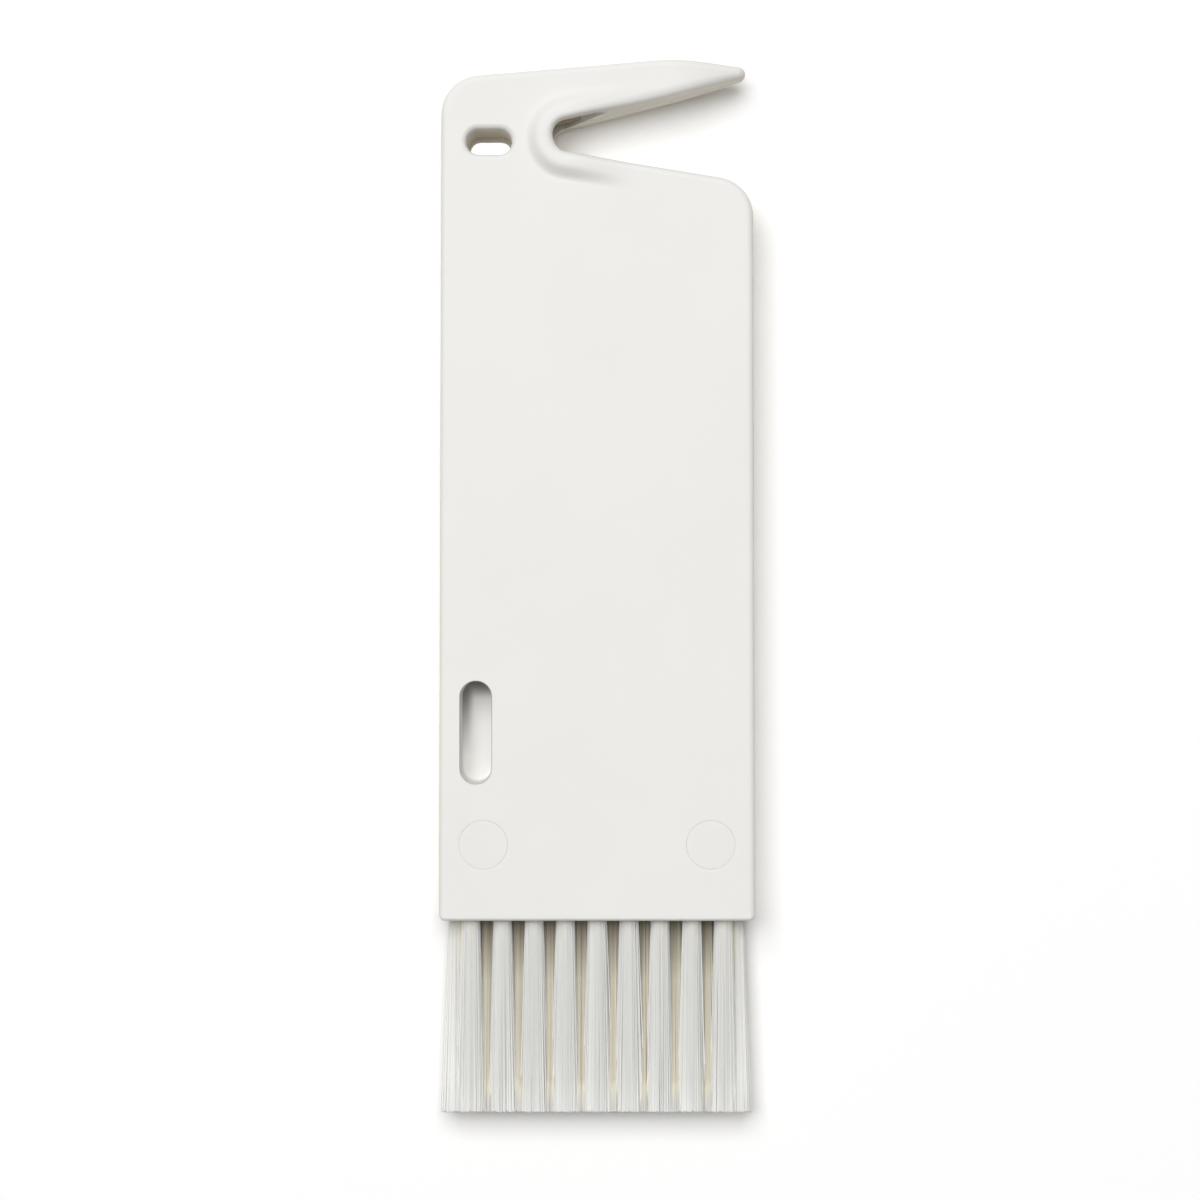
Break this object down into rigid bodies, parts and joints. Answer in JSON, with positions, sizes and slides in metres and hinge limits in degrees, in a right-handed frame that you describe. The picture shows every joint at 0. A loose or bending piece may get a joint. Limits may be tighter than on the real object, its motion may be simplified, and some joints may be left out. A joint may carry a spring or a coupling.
{
  "type": "robot vacuum cleaning brush",
  "caption": "Flat cleaning tool for a robot vacuum: a white two-shell handle with a hooked hair cutter at one end and a two-row bristle brush at the other.",
  "frame": {"origin": "middle of the whole tool's box, on the surface that its back face lies on", "axes": "+Y along the tool towards the hook, +Z out of the front face, +X across, with the mouth opening towards +X"},
  "size_m": [0.0404, 0.1346, 0.009],
  "materials": {
    "shell_abs": "moulded, fine satin",
    "pin_abs": "moulded, fine satin",
    "insert_pp": "moulded and drilled",
    "bristle_nylon": "drawn filament, slightly see-through",
    "blade_steel": "ground",
    "anchor_metal": "cut strip"
  },
  "bodies": {
    "root": {"front_shell": "shell_abs", "rear_shell": "shell_abs", "cutter_blade": "blade_steel", "brush_block": "insert_pp", "retaining_pin_left": "pin_abs", "retaining_pin_right": "pin_abs", "bristles_front_row": "bristle_nylon", "bristles_rear_row": "bristle_nylon", "tuft_anchor_front_1": "anchor_metal", "tuft_anchor_front_2": "anchor_metal", "tuft_anchor_front_3": "anchor_metal", "tuft_anchor_front_4": "anchor_metal", "tuft_anchor_front_5": "anchor_metal", "tuft_anchor_front_6": "anchor_metal", "tuft_anchor_front_7": "anchor_metal", "tuft_anchor_front_8": "anchor_metal", "tuft_anchor_front_9": "anchor_metal", "tuft_anchor_rear_1": "anchor_metal", "tuft_anchor_rear_2": "anchor_metal", "tuft_anchor_rear_3": "anchor_metal", "tuft_anchor_rear_4": "anchor_metal", "tuft_anchor_rear_5": "anchor_metal", "tuft_anchor_rear_6": "anchor_metal", "tuft_anchor_rear_7": "anchor_metal", "tuft_anchor_rear_8": "anchor_metal", "tuft_anchor_rear_9": "anchor_metal", "tuft_anchor_rear_10": "anchor_metal"}
  },
  "joints": []
}
